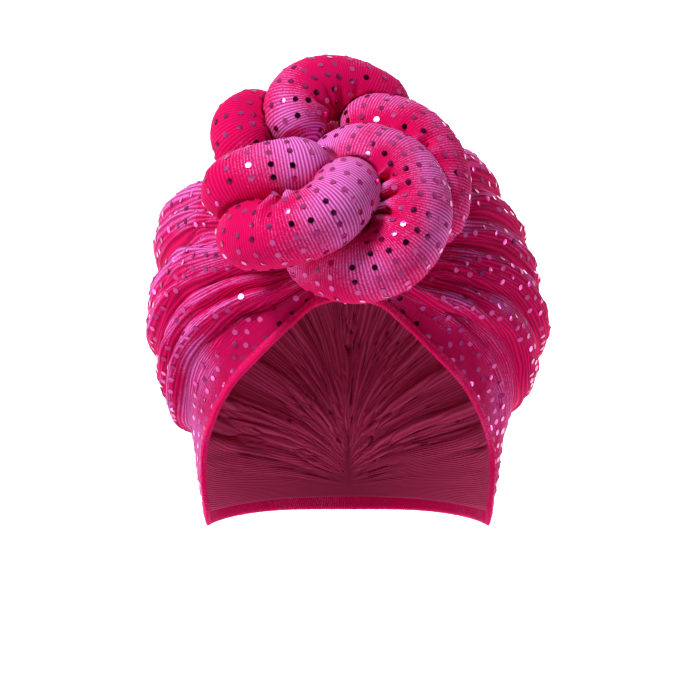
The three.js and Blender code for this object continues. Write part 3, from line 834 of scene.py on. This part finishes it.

# Points along the middle of each coil, front ones first: across, up, out, in coil diameters from the knot's
# seat, the coil's thickness there as a share of COIL_DIAMETER, and how much lilac sheen is painted there
COILS = {
    "coil_front": [
        (-1.6, -1.02, 0.72, 0.8, 0.1), (-1.36, -1.4, 1.05, 1, 0.05), (-0.83, -1.5, 1.4, 1, 0.4),
        (-0.28, -1.25, 1.5, 1, 0.75), (0, -0.8, 1.3, 0.97, 0.65), (0.04, -0.45, 0.98, 0.8, 0.15),
    ],
    "coil_left": [
        (-1.7, -0.74, 0.35, 0.75, 0), (-1.62, -0.58, 0.84, 1, 0.05), (-1.19, -0.48, 1.06, 1, 0.4),
        (-0.69, -0.38, 1.04, 1, 0.9), (-0.36, -0.22, 0.8, 0.85, 1),
    ],
    "coil_ring": [
        (-0.46, -0.1, 0.18, 0.7, 0.9), (-0.11, 0, 0.5, 0.95, 0.8), (0.29, -0.08, 0.78, 1.05, 0.3),
        (0.78, -0.38, 0.88, 1.08, 0.45), (0.97, -1, 0.93, 1.08, 0.5), (0.74, -1.56, 0.88, 1.08, 0.5),
        (0.2, -1.76, 0.76, 1.05, 0.5), (-0.37, -1.54, 0.48, 1, 0.5), (-0.78, -1.2, 0.3, 0.8, 0.5),
    ],
    "coil_right": [
        (-0.02, 0.58, -0.08, 0.8, 0.6), (0.36, 0.74, 0.14, 1, 0.35), (0.9, 0.52, 0.3, 1.05, 0.15),
        (1.26, 0, 0.32, 1.05, 0.2), (1.28, -0.6, 0.25, 1.03, 0.45), (1.06, -1.1, 0.05, 0.8, 0.5),
    ],
    "coil_top": [
        (-0.6, 0.38, 0.28, 0.85, 0.9), (-0.77, 0.92, 0.26, 1, 0.4), (-0.53, 1.35, 0.14, 1, 0),
        (-0.04, 1.48, -0.02, 1, 0), (0.42, 1.25, -0.2, 1, 0.05), (0.66, 0.85, -0.42, 0.8, 0.2),
    ],
    "coil_upper_left": [
        (-1.18, 0.08, 0.08, 0.75, 0.5), (-1.5, 0.41, 0.12, 1, 0.05), (-1.56, 0.77, 0.04, 1, 0),
        (-1.32, 1.03, -0.12, 0.9, 0), (-1, 1, -0.3, 0.7, 0.1),
    ],
}

# Pinches in the cloth: share of the coil's length, degrees from the inside of the bend, how many degrees
# they reach round it each way, and their depth, before PINCH_REACH and PINCH_DEEPENED enlarge them all
PINCHES = {
    "coil_front": [
        (0.42, 15, 34, 0.0042), (0.47, 10, 22, 0.0024), (0.12, 0, 34, 0.002), (0.88, 0, 26, 0.002),
    ],
    "coil_left": [(0.3, 0, 26, 0.0012), (0.62, 0, 30, 0.0015)],
    "coil_ring": [
        (0.27, 14, 18, 0.003), (0.34, 8, 26, 0.0045), (0.38, -14, 16, 0.003), (0.44, 6, 30, 0.005),
        (0.47, 26, 14, 0.003), (0.53, 2, 24, 0.0035),
    ],
    "coil_right": [
        (0.3, 0, 26, 0.003), (0.37, 5, 36, 0.005), (0.43, -5, 28, 0.004), (0.5, 0, 40, 0.006),
        (0.57, 10, 28, 0.004), (0.63, 0, 36, 0.005), (0.7, 5, 26, 0.003),
    ],
    "coil_top": [(0.22, 0, 24, 0.002), (0.34, 5, 26, 0.002), (0.48, 0, 22, 0.0015), (0.62, -5, 24, 0.0015)],
    "coil_upper_left": [(0.35, 0, 22, 0.0015), (0.52, 5, 26, 0.0018)],
}


def pinch_field(pinches, steps, full, angles, inside_angle):
    """How far the cloth sinks into the pinches, and how far it stands up in a lip on both sides of each."""
    field = np.zeros((len(steps), len(angles)))
    for share, offset, half_turn, depth in pinches:
        turn = angles[None] - inside_angle[:, None] - math.radians(offset)
        turn = (turn + math.pi) % (2 * math.pi) - math.pi
        bent = PINCH_SLANT * turn + PINCH_BEND * np.sin(4 * turn + 40 * share)
        place = (steps[:, None] - share * steps[-1] + bent * full[:, None]) / PINCH_WIDTH
        around = np.exp(-(turn / math.radians(PINCH_REACH * half_turn)) ** 2)
        lips = LIP_SHARE * np.exp(-((np.abs(place) - LIP_PLACE) / LIP_WIDTH) ** 2)
        field += depth * around * (lips - np.exp(-place ** 2))
    return field


def coil_line(rows_of_coil):
    """The coil's middle line in small steps, its radius, rounded off at both ends, and its painted sheen."""
    table = np.array(rows_of_coil, dtype=float)
    padded = np.vstack([2 * table[0] - table[1], table, 2 * table[-1] - table[-2]])
    place = np.linspace(0, len(table) - 1, LINE_STEPS)
    i = np.minimum(place.astype(int), len(table) - 2)
    s = (place - i)[:, None]
    p0, p1, p2, p3 = (padded[i + k] for k in range(4))
    drawn = 0.5 * (2 * p1 + (p2 - p0) * s + (2 * p0 - 5 * p1 + 4 * p2 - p3) * s ** 2
                   + (3 * p1 - p0 - 3 * p2 + p3) * s ** 3)
    points = KNOT_SEAT + COIL_DIAMETER * (
        drawn[:, :1] * np.array([1, 0, 0]) + drawn[:, 1:2] * KNOT_UP + drawn[:, 2:3] * KNOT_OUT)
    walk = walked(points)
    count = int(round(walk[-1] / RING_PITCH))
    steps = eased_steps(count, RING_DRAW) * walk[-1]
    centres = points_at(steps, walk, points)
    thickness, painted_sheen = (
        np.interp(steps, walk, table[i, k] + (table[i + 1, k] - table[i, k]) * s[:, 0]) for k in (3, 4))
    full = thickness * COIL_DIAMETER / 2
    to_end = np.minimum(1, np.minimum(steps, walk[-1] - steps) / full)
    return centres, full * np.sqrt(1 - (1 - to_end) ** 2), full, steps, painted_sheen


def settle(centres, radius, other_centres, other_radius):
    """Lifts a middle line clear of the crown and of the coils in front of it."""
    bed = COIL_GAP + PRESSED_SHARE * radius
    for _ in range(SETTLING_ROUNDS):
        if len(other_centres):
            away = centres[:, None] - other_centres[None]
            distance = np.linalg.norm(away, axis=-1)
            short = other_radius[None] + bed[:, None] - distance
            worst = np.argmax(short, axis=1)
            picked = np.arange(len(centres))
            push = np.maximum(0, short[picked, worst])
            apart = away[picked, worst] / distance[picked, worst][:, None]
            centres = centres + apart * push[:, None]
        centres = centres + unit(centres) * np.maximum(0, bed - crown_clearance(centres))[:, None]
    return centres


def smooth_along(values, times):
    """Evens a run of values out a little, with both ends held."""
    values = values.copy()
    for _ in range(times):
        values[1:-1] = 0.25 * values[:-2] + 0.5 * values[1:-1] + 0.25 * values[2:]
    return values


def pressed_radius(centres, outward, radius, other_centres, other_radius):
    """How far each ray from the middle line runs before it meets the crown or a coil in front."""
    reach = np.repeat(radius[:, None], outward.shape[1], axis=1)
    for ring in range(len(centres)):
        if not len(other_centres):
            break
        to_other = other_centres - centres[ring]
        distance2 = (to_other ** 2).sum(axis=1)
        size = other_radius + COIL_GAP
        near = distance2 < (size + radius[ring]) ** 2
        if near.any():
            along = outward[ring] @ to_other[near].T
            left = along ** 2 - (distance2[near] - size[near] ** 2)[None]
            hit = np.where((left > 0) & (along > 0), along - np.sqrt(np.maximum(left, 0)), 1.0)
            reach[ring] = np.minimum(reach[ring], hit.min(axis=1))
    close = crown_clearance(centres) < radius * 1.6 + COIL_GAP
    rings = np.nonzero(close)[0]
    low = np.zeros((len(rings), outward.shape[1]))
    high = reach[rings]
    start = centres[rings][:, None]

    def clear(r):
        points = start + outward[rings] * r[..., None]
        return crown_clearance(points.reshape(-1, 3)).reshape(r.shape) > COIL_GAP

    found = np.zeros_like(low, dtype=bool)
    for step in range(1, PROBE_STEPS + 1):
        test = reach[rings] * step / PROBE_STEPS
        free = clear(test)
        high = np.where(~free & ~found, test, high)
        found |= ~free
        low = np.where(free & ~found, test, low)
    for _ in range(HALVINGS):
        middle = (low + high) / 2
        free = clear(middle)
        low = np.where(free, middle, low)
        high = np.where(free, high, middle)
    reach[rings] = np.where(found, low, reach[rings])
    return np.maximum(reach, LEAST_REACH * radius[:, None])


coil_material = velvet("coil_velvet", 0.00108, 0.00013, 0.95)
all_centres = np.empty((0, 3))
all_radius = np.empty(0)
coil_surfaces = {}
for seed, (name, coil_rows) in enumerate(COILS.items()):
    centres, radius, full, steps, painted_sheen = coil_line(coil_rows)
    centres = smooth_along(settle(centres, radius, all_centres, all_radius), 12)
    tangents = unit(np.gradient(centres, axis=0))
    bend = smooth_along(np.gradient(tangents, axis=0) / np.gradient(steps)[:, None], 10)
    sideways = np.array([0.3, -1, 0.2])
    frames = np.empty((len(centres), 2, 3))
    for i, tangent in enumerate(tangents):
        sideways = unit(sideways - tangent * (sideways @ tangent))
        frames[i] = sideways, np.cross(tangent, sideways)
    angles = turned(COIL_SIDES)
    outward = rings_of(frames[:, 0], frames[:, 1], angles)
    reach = pressed_radius(centres, outward, radius, all_centres, all_radius)
    free = np.clip(reach / np.maximum(radius[:, None], 1e-9), 0, 1)

    # Pinches lie inside each bend and a little to the front of it, and the stuffing has slow lumps
    pinch_side = unit(bend) + PINCH_FRONT * np.array([0, -1, 0])
    inside_angle = np.arctan2(*((frames[:, k] * pinch_side).sum(axis=1) for k in (1, 0)))
    along = steps[:, None]
    around = angles[None]
    lumps = ripple(20 + seed, along * 90 + 2 * around, along * 150 - around, along * 60 + 3 * around)
    ends = smoothstep(radius / full, 0.3, 0.95)[:, None]
    pinched = pinch_field(PINCHES[name], steps, full, angles, inside_angle)
    reach = reach + free ** 2 * ends * (PINCH_DEEPENED * pinched + LUMP_HEIGHT * lumps * free ** 4)
    grid = centres[:, None] + outward * reach[..., None]

    uvs = np.stack([np.repeat(along, COIL_SIDES, axis=1), angles[None] * full[:, None]], axis=-1)
    body = grid[1:-1].reshape(-1, 3)
    points = np.concatenate([body, centres[:1], centres[-1:]])
    point_uvs = np.concatenate([uvs[1:-1].reshape(-1, 2), uvs[:1, 0], uvs[-1:, 0]])
    faces = ring_faces(len(centres) - 2, COIL_SIDES, False).tolist()
    tip = len(body)
    last = tip - COIL_SIDES
    for k in range(COIL_SIDES):
        after = (k + 1) % COIL_SIDES
        faces.append([tip, after, k])
        faces.append([tip + 1, last + k, last + after])
    # Painted sheen: more where the cloth faces up, a painted highlight on pinch lips, painted shade inside
    # each bend
    ring_painted_sheen = painted_sheen[1:-1, None] + SHEEN_BY_SLOPE * outward[1:-1] @ SHEEN_FACING
    ring_painted_sheen += LIP_HIGHLIGHT * np.maximum(0, pinched[1:-1])
    ring_painted_sheen -= SHADE_INSIDE_BENDS * np.maximum(0, np.cos(angles[None] - inside_angle[1:-1, None]))
    point_painted_sheen = np.concatenate([ring_painted_sheen.ravel(), painted_sheen[:1], painted_sheen[-1:]])
    coil = mesh_object(name + "_cloth", points, faces, point_uvs, painted_sheen=point_painted_sheen)
    merge_close(coil, 1e-8)
    coil.data.materials.append(coil_material)
    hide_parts(name)
    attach(coil, "root")
    coil_surfaces[name] = (grid, free, radius / full, steps, full)
    all_centres = np.concatenate([all_centres, centres[::2]])
    all_radius = np.concatenate([all_radius, radius[::2]])

# Round mirror foils, 3 mm across, are heat-pressed onto the velvet in a near-square grid. Each one tilts a
# little with the pile under it, so that some catch the light and others mirror the dark of the room.
FOIL_RADIUS = 0.00145
FOIL_THICKNESS = 0.00022
FOIL_SIDES = 10
FOIL_TILT = 0.1
FOIL_CROWNING = 0.00006
FOIL_STAND_OFF = 0.00005
FOIL_DARK = (0.3, 0.02, 0.13, 1)
FOIL_PALE = (0.6, 0.09, 0.32, 1)
foil_rng = np.random.default_rng(11)


def foil_mesh(name, places, normals):
    """Thin round foils at the given places, joined into one mesh."""
    count = len(places)
    normals = unit(normals + foil_rng.normal(0, FOIL_TILT, (count, 3)))
    first = unit(np.cross(normals, np.array([0.31, 0.2, 0.93])))
    second = np.cross(normals, first)
    rim = FOIL_RADIUS * rings_of(first, second, turned(FOIL_SIDES))
    base = places + normals * FOIL_STAND_OFF
    thick = normals * FOIL_THICKNESS
    upper = base[:, None] + rim + thick[:, None]
    lower = base[:, None] + rim - thick[:, None]
    top = (base + normals * (FOIL_THICKNESS + FOIL_CROWNING))[:, None]
    bottom = (base - thick)[:, None]
    points = np.concatenate([upper, lower, top, bottom], axis=1).reshape(-1, 3)
    k = np.arange(FOIL_SIDES)
    after = (k + 1) % FOIL_SIDES
    middle = np.full_like(k, 2 * FOIL_SIDES)
    offsets = (np.arange(count) * (2 * FOIL_SIDES + 2))[:, None, None]
    tops = np.stack([k, after, middle], axis=-1)[None] + offsets
    bottoms = np.stack([after + FOIL_SIDES, k + FOIL_SIDES, middle + 1], axis=-1)[None] + offsets
    sides = np.stack([after, k, k + FOIL_SIDES, after + FOIL_SIDES], axis=-1)[None] + offsets
    faces = tops.reshape(-1, 3).tolist() + bottoms.reshape(-1, 3).tolist() + sides.reshape(-1, 4).tolist()
    return mesh_object(name, points, faces)


def foil_material():
    """Mirror foil with a mauve cast, which differs a little from one foil to the next."""
    material, tree, shader = new_material("mirror_foil")
    by_foil = tree.nodes.new("ShaderNodeNewGeometry").outputs["Random Per Island"]
    tree.links.new(mix_colours(tree, by_foil, FOIL_DARK, FOIL_PALE), shader.inputs["Base Color"])
    rougher = math_node(tree, "MULTIPLY", by_foil, 0.08)
    tree.links.new(math_node(tree, "ADD", rougher, 0.1), shader.inputs["Roughness"])
    set_inputs(shader, {"Metallic": 1})
    return material


FOIL = foil_material()
CROWN_FOIL_PITCH = 0.007
CROWN_FOIL_ROWS = 0.00742
FOIL_JITTER = 0.0003
FOIL_ROOM = 0.0054
VALLEY_SHARE = 0.38


def spaced_apart(places, normals):
    """Leaves out each foil that would lie too close to an earlier one."""
    kept = []
    for i, place in enumerate(places):
        if not kept or np.min(((places[kept] - place) ** 2).sum(axis=1)) > FOIL_ROOM ** 2:
            kept.append(i)
    return places[kept], normals[kept]


crown_foil_places = []
crown_foil_normals = []
middle_column = across_count // 2
row_walk = walked(crown_outer[:, across_count // 8])
for target in np.arange(0.6 * CROWN_FOIL_PITCH, row_walk[-1], CROWN_FOIL_ROWS):
    row = int(np.argmin(np.abs(row_walk - target)))
    for half in (slice(0, middle_column + 1), slice(None, middle_column - 1, -1)):
        line = crown_outer[row, half]
        walk = walked(line)
        stops = np.arange(0.45 * CROWN_FOIL_PITCH, walk[-1] - 0.4 * CROWN_FOIL_PITCH, CROWN_FOIL_PITCH)
        stops = stops + foil_rng.normal(0, FOIL_JITTER, len(stops))
        in_valley = np.interp(stops, walk, crown_height[row, half]) < VALLEY_SHARE * FOLD_RISE
        folded = np.abs(np.interp(stops, walk, crown_across[row, half])) < -FOLD_START[0]
        stops = stops[~(in_valley & folded)]
        crown_foil_places.append(points_at(stops, walk, line))
        crown_foil_normals.append(points_at(stops, walk, crown_normals[row, half]))
crown_foils = foil_mesh("crown_foils", *spaced_apart(
    np.concatenate(crown_foil_places), unit(np.concatenate(crown_foil_normals))))

COIL_FOIL_ALONG = 0.0068
COIL_FOIL_AROUND = 0.0066
FOIL_SHEAR = 0.3
SIDE_JITTER = 0.25
FULL_ENOUGH = 0.5
FREE_ENOUGH = 0.985
coil_foil_places = []
coil_foil_normals = []
for grid, free, fullness, steps, full in coil_surfaces.values():
    normals = np.cross(np.gradient(grid, axis=0), np.roll(grid, -1, axis=1) - np.roll(grid, 1, axis=1))
    outward = grid - grid.mean(axis=1, keepdims=True)
    normals = unit(normals * np.sign((normals * outward).sum(axis=-1, keepdims=True) + 1e-30))
    per_ring = int(round(2 * math.pi * full.max() / COIL_FOIL_AROUND))
    for number, target in enumerate(np.arange(COIL_FOIL_ALONG * 0.5, steps[-1], COIL_FOIL_ALONG)):
        ring = int(np.argmin(np.abs(steps - target)))
        if fullness[ring] < FULL_ENOUGH:
            continue
        sides = (np.arange(per_ring) + FOIL_SHEAR * number) / per_ring * COIL_SIDES
        sides = np.round(sides + foil_rng.normal(0, SIDE_JITTER, per_ring)).astype(int) % COIL_SIDES
        kept = sides[free[ring, sides] > FREE_ENOUGH]
        coil_foil_places.append(grid[ring, kept])
        coil_foil_normals.append(normals[ring, kept])
coil_foils = foil_mesh("coil_foils", *spaced_apart(
    np.concatenate(coil_foil_places), np.concatenate(coil_foil_normals)))
for foils, cloth_slot in ((crown_foils, "crown_velvet"), (coil_foils, "coil_velvet")):
    foils.data.materials.append(FOIL)
    for polygon in foils.data.polygons:
        polygon.use_smooth = False
    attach(foils, "root")

# The studio: a pale floor that sweeps up behind, well below the wrap, with soft light from above on the
# left, a weaker light on the right, and a dim room in front that the foils mirror.
FLOOR_LEVEL = -0.26
FLOOR_FRONT = -3.0
BACKDROP_DISTANCE = 1.6
BACKDROP_TOP = 3.0
BACKDROP_HALF_WIDTH = 4.0
SWEEP_RADIUS = 0.6
SWEEP_STEPS = 12
PAPER = (0.93, 0.93, 0.93, 1)
ROOM_DARK = (0.03, 0.005, 0.04, 1)
ROOM_PALE = (0.8, 0.75, 0.8, 1)
ROOM_GLOW = (0.105, 0.1, 0.11, 1)
profile = [(FLOOR_FRONT, FLOOR_LEVEL)]
for step in range(SWEEP_STEPS + 1):
    turn = step / SWEEP_STEPS * math.pi / 2
    profile.append((
        BACKDROP_DISTANCE - SWEEP_RADIUS + SWEEP_RADIUS * math.sin(turn),
        FLOOR_LEVEL + SWEEP_RADIUS - SWEEP_RADIUS * math.cos(turn),
    ))
profile.append((BACKDROP_DISTANCE, BACKDROP_TOP))
sweep_points = np.array([
    (x, y, z) for y, z in profile for x in (-BACKDROP_HALF_WIDTH, BACKDROP_HALF_WIDTH)])
sweep_faces = [[2 * i, 2 * i + 1, 2 * i + 3, 2 * i + 2] for i in range(len(profile) - 1)]
sweep = mesh_object("studio_sweep", sweep_points, sweep_faces)
paper, _, paper_shader = new_material("studio_paper")
set_inputs(paper_shader, {"Base Color": PAPER, "Roughness": 0.9})
sweep.data.materials.append(paper)


def softbox(name, place, aim, width, height, power):
    """A soft rectangular light that faces a point."""
    data = bpy.data.lights.new(name, "AREA")
    data.shape = "RECTANGLE"
    data.size = width
    data.size_y = height
    data.energy = power
    lamp = bpy.data.objects.new(name, data)
    lamp.location = place
    lamp.rotation_euler = (Vector(aim) - Vector(place)).to_track_quat("-Z", "Y").to_euler()
    bpy.context.scene.collection.objects.link(lamp)


WRAP_MIDDLE = (0, -0.02, 0.07)
softbox("key", (-0.9, -0.95, 1.45), WRAP_MIDDLE, 0.45, 0.45, 38)
softbox("fill", (1.3, -0.9, 0.35), WRAP_MIDDLE, 0.5, 0.8, 1)
softbox("backdrop_left", (-1.0, 0.35, 0.4), (-0.5, 1.6, -0.1), 0.5, 1.2, 26)
softbox("backdrop_right", (1.0, 0.35, 0.4), (0.5, 1.6, -0.1), 0.5, 1.2, 26)

world = bpy.data.worlds.new("studio_room")
bpy.context.scene.world = world
world.use_nodes = True
world_tree = world.node_tree
background = world_tree.nodes["Background"]
ray = world_tree.nodes.new("ShaderNodeLightPath")
place = world_tree.nodes.new("ShaderNodeTexCoord")
split = world_tree.nodes.new("ShaderNodeSeparateXYZ")
world_tree.links.new(place.outputs["Generated"], split.inputs[0])
front_dark = world_tree.nodes.new("ShaderNodeMapRange")
front_dark.interpolation_type = "SMOOTHSTEP"
set_inputs(front_dark, {"From Min": -0.75, "From Max": -0.1})
world_tree.links.new(split.outputs["Y"], front_dark.inputs["Value"])
mirrored = mix_colours(world_tree, front_dark.outputs["Result"], ROOM_DARK, ROOM_PALE)
world_tree.links.new(
    mix_colours(world_tree, ray.outputs["Is Glossy Ray"], ROOM_GLOW, mirrored), background.inputs["Color"])

bpy.context.view_layer.update()
